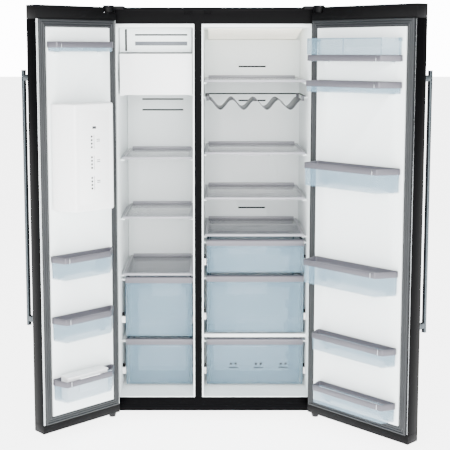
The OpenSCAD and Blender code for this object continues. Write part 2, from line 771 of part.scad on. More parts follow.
module dispenser_niche() {
    t = 3;
    y0 = -door_t - 2;
    y1 = y0 + niche_d;
    color("#26272b") hang_left() {
        difference() {
            union() {
                box([niche_s + slack, y0, niche_z + slack],
                    [niche_s + niche_w - slack, y1, niche_z + niche_h - slack]);
                box([niche_s - 8, y0, niche_z - 8], [niche_s + niche_w + 8, -door_t - slack, niche_z + niche_h + 70]);
            }
            box([niche_s + t, y0 - 1, niche_z + t + 8], [niche_s + niche_w - t, y1 - t, niche_z + niche_h - t]);
        }
        // ice chute and water spout at the niche's ceiling
        translate([niche_mid, y0 + 62, niche_z + niche_h - 40]) difference() {
            cylinder(h = 40 - t + eps, r = 24);
            translate([0, 0, -1]) cylinder(h = 30, r = 20);
        }
        for (s = [niche_s + t - eps, niche_s + niche_w - t - 11 + eps]) {
            difference() {
                box([s, y0 + 92, paddle_z + 24], [s + 11, y0 + 112, paddle_z + 44]);
                translate([s - 1, y0 + 102, paddle_z + 34]) rotate([0, 90, 0]) cylinder(h = 13, r = 3 + run_fit);
            }
        }
    }
}

module dispenser_paddle() {
    y = -door_t - 2 + 102;
    color("#55585d") hang_left() {
        translate([niche_s + 6, y, paddle_z + 34]) rotate([0, 90, 0]) cylinder(h = niche_w - 12, r = 3);
        box([niche_mid - 26, y - 2, paddle_z - 100], [niche_mid + 26, y + 2, paddle_z + 34]);
    }
}

// door bin outline: straight back, slanting ends, front at depth out
module bin_outline(s0, s1, out, cut0, cut1) {
    polygon([[s0, bin_back], [s1, bin_back], [s1, bin_back + 14], [s1 - cut1, out], [s0 + cut0, out],
        [s0, bin_back + 14]]);
}

// open tray with a proud band round its top edge
module bin(b) {
    s0 = b[0];
    s1 = b[1];
    z0 = b[2];
    z1 = b[3];
    band = 24;
    translate([0, 0, z0]) difference() {
        linear_extrude(z1 - z0) bin_outline(s0, s1, b[4], b[5], b[6]);
        translate([0, 0, tub_t]) linear_extrude(z1 - z0) offset(delta = -tub_t) {
            bin_outline(s0, s1, b[4], b[5], b[6]);
        }
    }
    translate([0, 0, z1 - band]) linear_extrude(band) difference() {
        offset(delta = 1.5) bin_outline(s0, s1, b[4], b[5], b[6]);
        offset(delta = -eps) bin_outline(s0, s1, b[4], b[5], b[6]);
    }
}

// bins as [s0, s1, lower edge, upper edge, depth, slant at the hinge end, slant at the free end]
fz_bin_s0 = side_wall + 5; // inside the compartment when the door is shut
fz_bin_s1 = fz_w - plug_in + 1;
low_edge = inner_z0 + plug_in - seal_in; // lower edge of the liner plugs
fz_room = disp_z - low_edge;
fz_bins = [[fz_bin_s0, fz_bin_s1, door_z1 - 182, door_z1 - 142, 60, 10, 16],
    for (q = [[0.674, 93], [0.374, 97], [0.082, 88]])
        [fz_bin_s0, fz_bin_s1, low_edge + q[0] * fz_room, low_edge + q[0] * fz_room + q[1], 88, 56, 18]];
fr_bin_s0 = side_wall + 5;
fr_bin_s1 = fr_w - plug_in - 12;
fr_room = door_z1 - 343 - low_edge;
fr_bins = [[fr_bin_s0, fr_bin_s1, door_z1 - 343, door_z1 - 296, 100, 6, 46],
    for (q = [[0.709, 96, 0, 104, 6, 46], [0.4, 99, 0, 104, 6, 46], [0.183, 74, 20, 76, 14, 24],
            [0.011, 77, 28, 76, 14, 24]])
        [fr_bin_s0 + q[2], fr_bin_s1, low_edge + q[0] * fr_room, low_edge + q[0] * fr_room + q[1],
            q[3], q[4], q[5]]];

module freezer_bin_1() color("#b4c6d0") hang_left() bin(fz_bins[0]);
module freezer_bin_2() color("#b4c6d0") hang_left() bin(fz_bins[1]);
module freezer_bin_3() color("#b4c6d0") hang_left() bin(fz_bins[2]);

module freezer_bin_4() {
    b = fz_bins[3];
    color("#b4c6d0") hang_left() {
        bin(b);
        // lidded ice tray standing in the bin
        box([b[0] + 66, bin_back + 8, b[2] + tub_t + 0.2], [b[1] - 32, b[4] - 14, b[3] + 12]);
    }
}

module fridge_bin_1() color("#b4c6d0") hang_right() bin(fr_bins[0]);
module fridge_bin_2() color("#b4c6d0") hang_right() bin(fr_bins[1]);
module fridge_bin_3() color("#b4c6d0") hang_right() bin(fr_bins[2]);
module fridge_bin_4() color("#b4c6d0") hang_right() bin(fr_bins[3]);
module fridge_bin_5() color("#b4c6d0") hang_right() bin(fr_bins[4]);

dairy = [fr_bin_s0, fr_bin_s1, door_z1 - 220, door_z1 - 194, 92, 6, 46];
flap_z1 = door_z1 - 128;
flap_axis = [bin_back + 8, flap_z1 - 7];

module dairy_box() {
    color("#b4c6d0") hang_right() {
        bin(dairy);
        for (s = [dairy[0] + 6, dairy[1] - 9]) difference() {
            box([s, bin_back, dairy[2] + tub_t], [s + 3, bin_back + 14, flap_z1 + 1]);
            translate([s - 1, flap_axis[0], flap_axis[1]]) rotate([0, 90, 0]) cylinder(h = 5, r = 3 + run_fit);
        }
    }
}

module dairy_flap() {
    z0 = dairy[3] + 1;
    color("#c4d3dc") hang_right() {
        difference() {
            translate([0, 0, z0]) linear_extrude(flap_z1 - z0) flap_outline();
            translate([0, 0, z0 - 1]) linear_extrude(flap_z1 - z0 - 1) offset(delta = -2) flap_outline();
            box([0, 0, z0 - 1], [fr_w, bin_back + 16, flap_z1 - 14]);
            box([0, 0, z0 - 1], [fr_w, bin_back + 2, flap_z1 + 1]);
            for (s = [dairy[0] + 5, dairy[1] - 10]) box([s, 0, z0], [s + 5, bin_back + 20, flap_z1 + 1]);
        }
        difference() {
            translate([dairy[0] + 1, flap_axis[0], flap_axis[1]]) rotate([0, 90, 0]) {
                cylinder(h = dairy[1] - dairy[0] - 2, r = 3);
            }
            box([dairy[0] + 14, 0, z0], [dairy[1] - 14, bin_back + 30, flap_z1 + 1]);
        }
        for (s = [dairy[0] + 10, dairy[1] - 14]) {
            box([s, flap_axis[0] - 4, flap_axis[1] - 4], [s + 4, flap_axis[0] + 4, flap_z1 - 1]);
        }
    }
}

module flap_outline() bin_outline(dairy[0], dairy[1], dairy[4], dairy[5], dairy[6]);

function spans(bins) = [for (b = bins) [b[0], b[1], b[2]]];

module freezer_door_shell() color("#1a1b20") hang_left() door_shell(fz_w, disp_hole);
module freezer_door_core() color("#e8d9a8") hang_left() door_core(fz_w, disp_hole);
module freezer_door_liner() color("#edf2f2") hang_left() door_liner(fz_w, disp_hole, spans(fz_bins));
module freezer_door_seal() color("#5a6269") hang_left() door_seal(fz_w);
module freezer_door_handle() color("#7b8388") hang_left() door_handle(fz_w);
module fridge_door_shell() color("#1a1b20") hang_right() door_shell(fr_w, false);
module fridge_door_core() color("#e8d9a8") hang_right() door_core(fr_w, false);
module fridge_door_liner() {
    color("#edf2f2") hang_right() door_liner(fr_w, false, concat(spans(fr_bins), spans([dairy])));
}
module fridge_door_seal() color("#5a6269") hang_right() door_seal(fr_w);
module fridge_door_handle() color("#7b8388") hang_right() door_handle(fr_w);

outer_case();
rear_panel();
insulation();
freezer_liner();
fridge_liner();
front_frame();
base_frame();
compressor();
condenser();
evaporator();
machine_cover();
rear_connections();
hinge_brackets();
hinge_covers();
freezer_duct_cover();
fridge_duct_cover();
lamp_cover();
ice_maker();
fixed_shelves();
condenser_fan();
evaporator_fan();
foot_left();
foot_right();
rear_rollers();
ice_bin();
freezer_shelf_upper();
freezer_shelf_middle();
freezer_drawer_upper();
freezer_drawer_lower();
fridge_shelf_top();
fridge_shelf_upper();
fridge_shelf_middle();
bottle_rack();
fridge_drawer_upper();
fridge_drawer_middle();
fridge_drawer_lower();
freezer_door_shell();
freezer_door_core();
freezer_door_liner();
freezer_door_seal();
freezer_door_handle();
dispenser_housing();
dispenser_niche();
dispenser_paddle();
freezer_bin_1();
freezer_bin_2();
freezer_bin_3();
freezer_bin_4();
fridge_door_shell();
fridge_door_core();
fridge_door_liner();
fridge_door_seal();
fridge_door_handle();
dairy_box();
dairy_flap();
fridge_bin_1();
fridge_bin_2();
fridge_bin_3();
fridge_bin_4();
fridge_bin_5();
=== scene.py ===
"""Finishes and fine parts of a side by side refrigerator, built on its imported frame."""

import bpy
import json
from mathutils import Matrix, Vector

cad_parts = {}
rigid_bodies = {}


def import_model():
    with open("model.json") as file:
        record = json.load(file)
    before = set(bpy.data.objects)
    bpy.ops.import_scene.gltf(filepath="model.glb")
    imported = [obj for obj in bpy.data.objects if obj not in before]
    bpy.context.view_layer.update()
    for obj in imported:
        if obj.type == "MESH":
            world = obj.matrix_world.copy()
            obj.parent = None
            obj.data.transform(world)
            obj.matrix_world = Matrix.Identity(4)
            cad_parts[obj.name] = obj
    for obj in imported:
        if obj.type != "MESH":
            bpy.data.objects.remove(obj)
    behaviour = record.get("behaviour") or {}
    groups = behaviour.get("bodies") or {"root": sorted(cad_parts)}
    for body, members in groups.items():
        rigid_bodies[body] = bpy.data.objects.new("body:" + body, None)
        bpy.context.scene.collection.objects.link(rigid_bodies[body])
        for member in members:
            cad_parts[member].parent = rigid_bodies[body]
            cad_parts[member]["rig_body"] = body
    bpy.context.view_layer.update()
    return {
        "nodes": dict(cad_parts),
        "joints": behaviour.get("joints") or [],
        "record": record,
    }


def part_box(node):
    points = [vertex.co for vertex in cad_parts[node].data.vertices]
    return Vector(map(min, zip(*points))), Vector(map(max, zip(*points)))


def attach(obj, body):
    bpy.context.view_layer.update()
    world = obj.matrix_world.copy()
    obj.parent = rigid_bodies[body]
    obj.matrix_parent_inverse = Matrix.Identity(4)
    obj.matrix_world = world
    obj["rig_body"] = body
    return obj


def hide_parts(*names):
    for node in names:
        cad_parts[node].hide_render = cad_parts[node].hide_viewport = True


bl_info = {
    "name": "Side by side refrigerator",
    "version": (1, 0, 0),
    "blender": (4, 5, 0),
    "location": "View3D > Sidebar > Refrigerator",
    "description": "Builds the finishes, seals, shelves, drawers and bins of a refrigerator",
    "category": "Object",
}

import json
import math

import bmesh
import bpy
from mathutils import Matrix, Vector

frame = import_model()
NODES = frame["nodes"]
JOINTS = {joint["name"]: joint for joint in frame["joints"]}
MM = 0.001
WALL = 2.5 * MM  # moulded wall of drawers and bins
BAND = 24 * MM  # height of a bin's grey band
BAND_PROUD = 1.5 * MM  # how far the band stands out from its bin
TINY = 0.01 * MM  # corners closer than this are one


# ---------------------------------------------------------------- sizes and colours

class FridgeSizes(bpy.types.PropertyGroup):
    """Sizes that the fine parts share."""

    door_gap: bpy.props.FloatProperty(
        name="Door gap", description="Cabinet front to a door's inner face",
        default=0.012, unit="LENGTH")
    corner_round: bpy.props.FloatProperty(
        name="Tub corner", description="Corner radius of drawers and bins",
        default=0.008, unit="LENGTH")
    camera_distance: bpy.props.FloatProperty(
        name="Camera distance", description="Camera in front of the cabinet's front plane",
        default=4.237, unit="LENGTH")
    camera_height: bpy.props.FloatProperty(
        name="Camera height", description="Camera above the floor",
        default=1.587, unit="LENGTH")
    camera_lens: bpy.props.FloatProperty(
        name="Camera lens", description="Focal length on a 36 mm sensor, in millimetres",
        default=80.4)
    camera_tilt: bpy.props.FloatProperty(
        name="Camera tilt", description="Downward tilt of the camera",
        default=math.radians(6.65), subtype="ANGLE")


def linear(code):
    """An sRGB hex colour as linear red, green, blue and alpha."""
    parts = [int(code[i:i + 2], 16) / 255 for i in (1, 3, 5)]
    return [p / 12.92 if p <= 0.04045 else ((p + 0.055) / 1.055) ** 2.4 for p in parts] + [1.0]


def colour_property(label, use, code):
    return bpy.props.FloatVectorProperty(
        name=label, description=use, default=linear(code)[:3], subtype="COLOR",
        size=3, min=0.0, max=1.0)


class FridgeColours(bpy.types.PropertyGroup):
    """Main colours of the finishes."""

    cabinet: colour_property("Cabinet", "Painted steel of the case and doors", "#040405")
    glass: colour_property("Door glass", "Back-painted glass of the door fronts", "#030304")
    liner: colour_property("Liner", "Vacuum-formed liner", "#EFF5F5")
    tub: colour_property("Tubs", "Clear drawers and bins", "#7D9DB0")
    band: colour_property("Bands", "Satin bands and grips", "#55545B")
    handle: colour_property("Handles", "Brushed aluminium of the handles", "#4A5155")


# ---------------------------------------------------------------- materials

def add_node(tree, kind, inputs, **settings):
    """Adds a node with its settings; an input is a constant or a socket to link from."""
    node = tree.nodes.new(kind)
    for name, value in settings.items():
        setattr(node, name, value)
    for name, value in inputs.items():
        socket = node.inputs[name]
        if isinstance(value, bpy.types.NodeSocket):
            tree.links.new(value, socket)
        else:
            socket.default_value = value
    return node


def finish(name, colour, shade, grain, rough, spread=0.08, metallic=0.0, relief=0.0,
           stretch=(1, 1, 1), pattern="noise", **constants):
    """A procedural finish. grain is the pattern's real size in metres, relief its height,
    shade how much darker its low parts are, and spread how far the roughness wanders."""
    mat = bpy.data.materials.new(name)
    mat.use_nodes = True
    tree = mat.node_tree
    bsdf = tree.nodes["Principled BSDF"]
    where = add_node(tree, "ShaderNodeTexCoord", {}).outputs["Object"]
    turned = add_node(tree, "ShaderNodeMapping", {"Vector": where, "Scale": stretch})
    if pattern == "cells":
        field = add_node(tree, "ShaderNodeTexVoronoi",
                         {"Vector": turned.outputs["Vector"], "Scale": 1 / grain})
        value = field.outputs["Distance"]
    else:
        field = add_node(tree, "ShaderNodeTexNoise", {
            "Vector": turned.outputs["Vector"], "Scale": 1 / grain, "Detail": 3.0,
            "Roughness": 0.55})
        value = field.outputs["Fac"]
    light = linear(colour) if isinstance(colour, str) else list(colour) + [1.0]
    dark = [c * (1 - shade) for c in light[:3]] + [1.0]
    tint = add_node(tree, "ShaderNodeMix", {0: value, 6: dark, 7: light}, data_type="RGBA")
    tree.links.new(tint.outputs[2], bsdf.inputs["Base Color"])
    worn = add_node(tree, "ShaderNodeMapRange", {
        "Value": value, "To Min": max(rough - spread, 0.02), "To Max": rough + spread})
    tree.links.new(worn.outputs["Result"], bsdf.inputs["Roughness"])
    if relief:
        bump = add_node(tree, "ShaderNodeBump", {
            "Height": value, "Strength": 1.0, "Distance": relief})
        tree.links.new(bump.outputs["Normal"], bsdf.inputs["Normal"])
    bsdf.inputs["Metallic"].default_value = metallic
    for key, constant in constants.items():
        bsdf.inputs[key.replace("_", " ")].default_value = constant
    return mat


def make_finishes():
    """Every finish of the refrigerator, by a short key."""
    c = bpy.context.scene.fridge_colours
    return {
        # powder-coated steel: fine orange peel that softens the highlights
        "steel": finish("powder_coated_steel", c.cabinet, 0.15, 0.0016, 0.34, 0.05,
                        relief=0.00003, Specular_IOR_Level=0.02),
        # back-painted float glass: deep black with clear sharp reflections
        "glass": finish("back_painted_glass", c.glass, 0.1, 0.08, 0.07, 0.03,
                        Coat_Weight=0.12, Coat_Roughness=0.04, IOR=1.52,
                        Specular_IOR_Level=0.2),
        # hot-dip galvanised sheet: pale crystals (spangle) about 6 mm across
        "zinc_sheet": finish("galvanised_sheet", "#A3A9AC", 0.3, 0.006, 0.45, 0.1,
                             metallic=0.9, pattern="cells", relief=0.00002),
        # bright zinc plate of screws and brackets
        "zinc": finish("zinc_plated_steel", "#8C9094", 0.2, 0.002, 0.32, 0.08, metallic=0.95),
        # black paint over the hinges' pressed steel
        "hinge": finish("black_painted_steel", "#0B0B0D", 0.2, 0.002, 0.38, 0.06,
                        relief=0.00002, Specular_IOR_Level=0.2),
        # rigid polyurethane foam: small cells, cream
        "foam": finish("polyurethane_foam", "#E6D7A4", 0.35, 0.0022, 0.9, 0.05,
                       pattern="cells", relief=0.0003),
        # vacuum-formed polystyrene: white, faint waviness from forming
        "liner": finish("vacuum_formed_polystyrene", c.liner, 0.02, 0.05, 0.34, 0.05,
                        relief=0.00008, Specular_IOR_Level=0.45),
        # moulded ABS, satin white
        "white": finish("satin_white_abs", "#F4F5F5", 0.03, 0.0012, 0.36, 0.05,
                        relief=0.00001),
        # the same ABS in light grey, for vent panels
        "pale": finish("satin_pale_grey_abs", "#E9EEEE", 0.04, 0.0012, 0.42, 0.05,
                       relief=0.00001),
        # moulded ABS with a fine spark-eroded texture, black
        "black": finish("textured_black_abs", "#060607", 0.25, 0.0009, 0.48, 0.08,
                        relief=0.00003, Specular_IOR_Level=0.08),
        # the same ABS in dark grey
        "grey": finish("textured_grey_abs", "#5B5F66", 0.2, 0.0009, 0.5, 0.08,
                       relief=0.00003),
        # satin-painted styrene band of bins, grips and shelf rims: silver grey
        "band": finish("satin_silver_styrene", c.band, 0.08, 0.0007, 0.33, 0.06,
                       metallic=0.25),
        # injection-moulded clear polystyrene: faint blue body, glossy
        "tub": finish("clear_polystyrene", c.tub, 0.06, 0.03, 0.08, 0.04,
                      Alpha=0.3, IOR=1.59),
        # the same polystyrene seen through its thick edges, darker and more opaque: painted shade
        "tub_edge_shade": finish("clear_polystyrene_edge_shade", "#64808F", 0.08, 0.02, 0.12, 0.05,
                           Alpha=0.7, IOR=1.59),
        # toughened float glass of the shelves, grey and half opaque: painted reflection of glass
        # seen along its surface
        "shelf": finish("shelf_glass_painted_reflection", "#8C8B90", 0.04, 0.06, 0.05, 0.03,
                        Alpha=0.5, IOR=1.52),
        # grey styrene rim that holds the shelf glass
        "rim": finish("shelf_rim_styrene", "#96969C", 0.06, 0.0008, 0.35, 0.06),
        # soft PVC of the magnetic seals: matt, a little dusty in the folds
        "seal": finish("soft_pvc_seal", "#13171A", 0.12, 0.004, 0.62, 0.08, relief=0.00004),
        # painted styrene of the bottle rack: darker silver grey
        "rack": finish("satin_grey_styrene", "#383B40", 0.1, 0.0008, 0.35, 0.06),
        # aluminium, brushed along its length and anodised: streaks 0.3 mm wide, drawn 0.8
        "brushed": finish("brushed_anodised_aluminium", c.handle, 0.22, 0.0008, 0.42, 0.08,
                          metallic=1.0, stretch=(1, 1, 0.02), relief=0.000015),
        # polished aluminium trim
        "trim": finish("polished_aluminium_trim", "#C9CDD0", 0.1, 0.001, 0.2, 0.05,
                       metallic=1.0, stretch=(1, 1, 0.03)),
        # opal acrylic lamp cover: warm white, lit from inside
        "lamp": finish("opal_acrylic", "#FBF8EC", 0.03, 0.03, 0.4, 0.05,
                       Emission_Color=linear("#FFF6E2"), Emission_Strength=0.9),
        # black stove paint on the compressor's pressed shell
        "shell": finish("compressor_enamel", "#1B1C1E", 0.3, 0.003, 0.4, 0.1,
                        relief=0.00005),
        # mill-finish aluminium fins
        "fins": finish("mill_finish_aluminium", "#B4B9BC", 0.15, 0.0015, 0.35, 0.08,
                       metallic=1.0, stretch=(1, 0.05, 1)),
        # nylon of rollers, fans and fittings: off-white, slightly waxy
        "nylon": finish("natural_nylon", "#DAD9D2", 0.06, 0.0015, 0.42, 0.06,
                        relief=0.00001, Subsurface_Weight=0.05),
        # moulded rubber of the feet
        "rubber": finish("moulded_rubber", "#26272A", 0.3, 0.0012, 0.75, 0.08,
                         relief=0.00004),
        # dark grey print on moulded plastic
        "print": finish("grey_pad_print", "#1E2024", 0.1, 0.0008, 0.5, 0.05),
    }


# ---------------------------------------------------------------- mesh helpers

def inset_outline(points, distance):
    """A convex outline moved inward by distance (outward when negative)."""
    moved = []
    count = len(points)
    for i in range(count):
        a, b, c = (Vector(points[j % count]) for j in (i - 1, i, i + 1))
        before, after = (b - a).normalized(), (c - b).normalized()
        normal_1 = Vector((-before.y, before.x))
        normal_2 = Vector((-after.y, after.x))
        bisector = normal_1 + normal_2
        moved.append(b + bisector * (distance / (1 + normal_1.dot(normal_2))))
    return moved


def fillet_outline(points, radius, steps=4):
    """A convex outline with round corners, steps + 1 points at each."""
    rounded = []
    count = len(points)
    for i in range(count):
        a, b, c = (Vector(points[j % count]) for j in (i - 1, i, i + 1))
        to_a, to_c = (a - b), (c - b)
        half = to_a.angle(to_c) / 2
        run = min(radius / math.tan(half), to_a.length * 0.45, to_c.length * 0.45)
        r = run * math.tan(half)
        start, end = b + to_a.normalized() * run, b + to_c.normalized() * run
        centre = b + (to_a.normalized() + to_c.normalized()).normalized() * (r / math.sin(half))
        u, v = start - centre, end - centre
        sweep = u.angle(v) if u.length > 1e-9 else 0
        turn = 1 if u.x * v.y - u.y * v.x > 0 else -1
        for k in range(steps + 1):
            t = turn * sweep * k / steps
            rounded.append(centre + Vector((u.x * math.cos(t) - u.y * math.sin(t),
                                            u.x * math.sin(t) + u.y * math.cos(t))))
    return rounded


def rectangle(x0, y0, x1, y1):
    return [(x0, y0), (x1, y0), (x1, y1), (x0, y1)]


class Maker:
    """Collects the faces of one piece, then turns them into an object."""

    def __init__(self, name, place=None):
        self.name = name
        self.place = place or Matrix.Identity(4)
        self.bm = bmesh.new()
        self.materials = []

    def _join(self, part, material, pick=None):
        """Adds a part's faces in one material, or in what pick chooses for each."""
        for face in part.faces:
            chosen = pick(face.calc_center_median(), face.normal) if pick else None
            chosen = chosen or material
            if chosen not in self.materials:
                self.materials.append(chosen)
            face.material_index = self.materials.index(chosen)
        scratch = bpy.data.meshes.new("scratch")
        part.to_mesh(scratch)
        part.free()
        self.bm.from_mesh(scratch)
        bpy.data.meshes.remove(scratch)

    def block(self, low, high, material, rounding=0.001, segments=2):
        """A box between two corners with rounded edges."""
        low, high = Vector(low), Vector(high)
        part = bmesh.new()
        size = high - low
        bmesh.ops.create_cube(part, size=1.0, matrix=Matrix.Translation((low + high) / 2)
                              @ Matrix.Diagonal((*size, 1)))
        r = min(rounding, min(abs(s) for s in size) * 0.45)
        if r > 0.00005:
            bmesh.ops.bevel(part, geom=part.edges[:], offset=r, segments=segments,
                            profile=0.5, affect="EDGES", clamp_overlap=True)
        self._join(part, material)

    def loft(self, levels, material, closed=False, axes="xyz"):
        """Skins a stack of outlines, each (points, height); closed joins last to first."""
        part = bmesh.new()
        order = ["xyz".index(a) for a in axes]
        rings = []
        for points, height in levels:
            ring = []
            for p in points:
                flat = (p[0], p[1], height)
                spot = [0.0, 0.0, 0.0]
                for slot, value in zip(order, flat):
                    spot[slot] = value
                ring.append(part.verts.new(spot))
            rings.append(ring)
        pairs = list(zip(rings, rings[1:])) + ([(rings[-1], rings[0])] if closed else [])
        for lower, upper in pairs:
            for i in range(len(lower)):
                j = (i + 1) % len(lower)
                part.faces.new((lower[i], lower[j], upper[j], upper[i]))
        if not closed:
            part.faces.new(rings[0])
            part.faces.new(rings[-1])
        bmesh.ops.recalc_face_normals(part, faces=part.faces[:])
        self._join(part, material)

    def tube(self, start, end, radius, material, sides=20, rounding=0.0):
        """A round bar between two points, with chamfered ends."""
        start, end = Vector(start), Vector(end)
        along = end - start
        part = bmesh.new()
        bmesh.ops.create_cone(part, cap_ends=True, segments=sides, radius1=radius,
                              radius2=radius, depth=along.length)
        if rounding:
            rims = [e for e in part.edges if any(len(f.verts) > 4 for f in e.link_faces)]
            bmesh.ops.bevel(part, geom=rims, offset=rounding, segments=2, affect="EDGES")
        turn = Vector((0, 0, 1)).rotation_difference(along).to_matrix().to_4x4()
        part.transform(Matrix.Translation((start + end) / 2) @ turn)
        self._join(part, material)

    def tub(self, outline, z0, z1, material, wall=WALL, corner=0.008, draft=0.0, foot=0.004):
        """An open tray with rounded corners, a rounded foot and a soft top edge."""
        def at(inset, radius):
            return fillet_outline(inset_outline(outline, inset), max(radius, 0.0006))
        self.loft([
            (at(draft + foot, corner), z0),
            (at(draft + foot * 0.3, corner), z0 + foot * 0.3),
            (at(draft, corner), z0 + foot),
            (at(0.0, corner), z1 - wall * 0.3),
            (at(wall * 0.3, corner), z1),
            (at(wall * 0.7, corner - wall), z1),
            (at(wall, corner - wall), z1 - wall * 0.3),
            (at(draft + wall, corner - wall), z0 + foot + wall),
            (at(draft + foot + wall, corner - wall), z0 + wall)], material)

    def node(self, name, material, rounding=0.0, segments=2, pick=None, joined=True):
        """The frame's own solid with its sharp edges rounded, its flat faces joined first."""
        part = bmesh.new()
        part.from_mesh(NODES[name].data)
        bmesh.ops.remove_doubles(part, verts=part.verts[:], dist=TINY)
        if joined:
            bmesh.ops.dissolve_limit(part, angle_limit=0.01, verts=part.verts[:],
                                     edges=part.edges[:])
        if rounding:
            sharp = [e for e in part.edges if e.is_manifold and e.calc_face_angle(0) > 0.6]
            bmesh.ops.bevel(part, geom=sharp, offset=rounding, segments=segments,
                            profile=0.5, affect="EDGES", clamp_overlap=True)
        part.transform(self.place.inverted())
        if self.place.determinant() < 0:
            bmesh.ops.reverse_faces(part, faces=part.faces[:])
        self._join(part, material, pick)

    def build(self, body, slot, *replaced, smooth=0.6):
        """The finished object, riding on its body and standing for the replaced nodes."""
        self.bm.transform(self.place)
        if self.place.determinant() < 0:
            bmesh.ops.reverse_faces(self.bm, faces=self.bm.faces[:])
        mesh = bpy.data.meshes.new(self.name)
        self.bm.to_mesh(mesh)
        self.bm.free()
        for material in self.materials:
            mesh.materials.append(material)
        mesh.polygons.foreach_set("use_smooth", [True] * len(mesh.polygons))
        mesh.set_sharp_from_angle(angle=smooth)
        obj = bpy.data.objects.new(self.name, mesh)
        bpy.context.scene.collection.objects.link(obj)
        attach(obj, body)
        if replaced:
            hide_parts(*replaced)
        return obj

    def stand_for(self, node):
        """The finished object in a node's place and on its body."""
        return self.build(body_of(node), slot_of(node), node)


def body_of(node):
    return NODES[node]["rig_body"]


def slot_of(node):
    return next(p["material_slot"] for p in frame["record"]["subparts"] if p["node"] == node)


def door_place(joint_name):
    """Places door coordinates: s from the hinge edge, e inward from the inner face, z up."""
    joint = JOINTS[joint_name]
    x, y, _ = joint["pos_m"]
    swing = math.radians(max(abs(a) for a in joint["range_deg"]))
    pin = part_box("front_frame")[1].x - abs(x)
    gap = bpy.context.scene.fridge_sizes.door_gap
    hang = (Matrix.Translation((-abs(x), y, 0)) @ Matrix.Rotation(-swing, 4, "Z")
            @ Matrix.Translation((-pin, -y - gap, 0)))
    return hang if x < 0 else Matrix.Scale(-1, 4, (1, 0, 0)) @ hang


def local_box(node, place):
    """Lowest and highest corners of a node in door coordinates."""
    back = place.inverted()
    spots = [back @ v.co for v in NODES[node].data.vertices]
    return (Vector([min(p[i] for p in spots) for i in range(3)]),
            Vector([max(p[i] for p in spots) for i in range(3)]))


DOORS = {"freezer": "freezer_door_swing", "fridge": "fridge_door_swing"}
DRAWERS = ("freezer_drawer_upper", "freezer_drawer_lower", "fridge_drawer_upper",
           "fridge_drawer_middle", "fridge_drawer_lower")
FINISHES = {}


def paint(node, key):
    """Gives a frame node its finish."""
    mesh = NODES[node].data
    mesh.materials.clear()
    mesh.materials.append(FINISHES[key])


def refine(node, key, rounding=1.0, segments=2, joined=True):
    """A frame node rebuilt with rounded edges, rounding in millimetres."""
    maker = Maker(node + "_skin")
    maker.node(node, FINISHES[key], rounding * MM, segments, joined=joined)
    return maker.stand_for(node)


def front_openings(node):
    """Holes in a node's front plane, each as (x0, x1, z0, z1), the widest outline left out."""
    low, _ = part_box(node)
    part = bmesh.new()
    part.from_mesh(NODES[node].data)
    bmesh.ops.remove_doubles(part, verts=part.verts[:], dist=TINY)
    rims = [e for e in part.edges if e.is_manifold and e.calc_face_angle(0) > 0.5
            and all(abs(v.co.y - low.y) < 0.0001 for v in e.verts)]
    loops = []
    for edge in rims:
        joined = set(edge.verts)
        apart = []
        for loop in loops:
            if loop & joined:
                joined |= loop
            else:
                apart.append(loop)
        loops = apart + [joined]
    spans = [(min(v.co.x for v in loop), max(v.co.x for v in loop),
              min(v.co.z for v in loop), max(v.co.z for v in loop)) for loop in loops]
    part.free()
    widest = max(spans, key=lambda s: (s[1] - s[0]) * (s[3] - s[2]))
    return [s for s in spans if s != widest]


# ---------------------------------------------------------------- operators

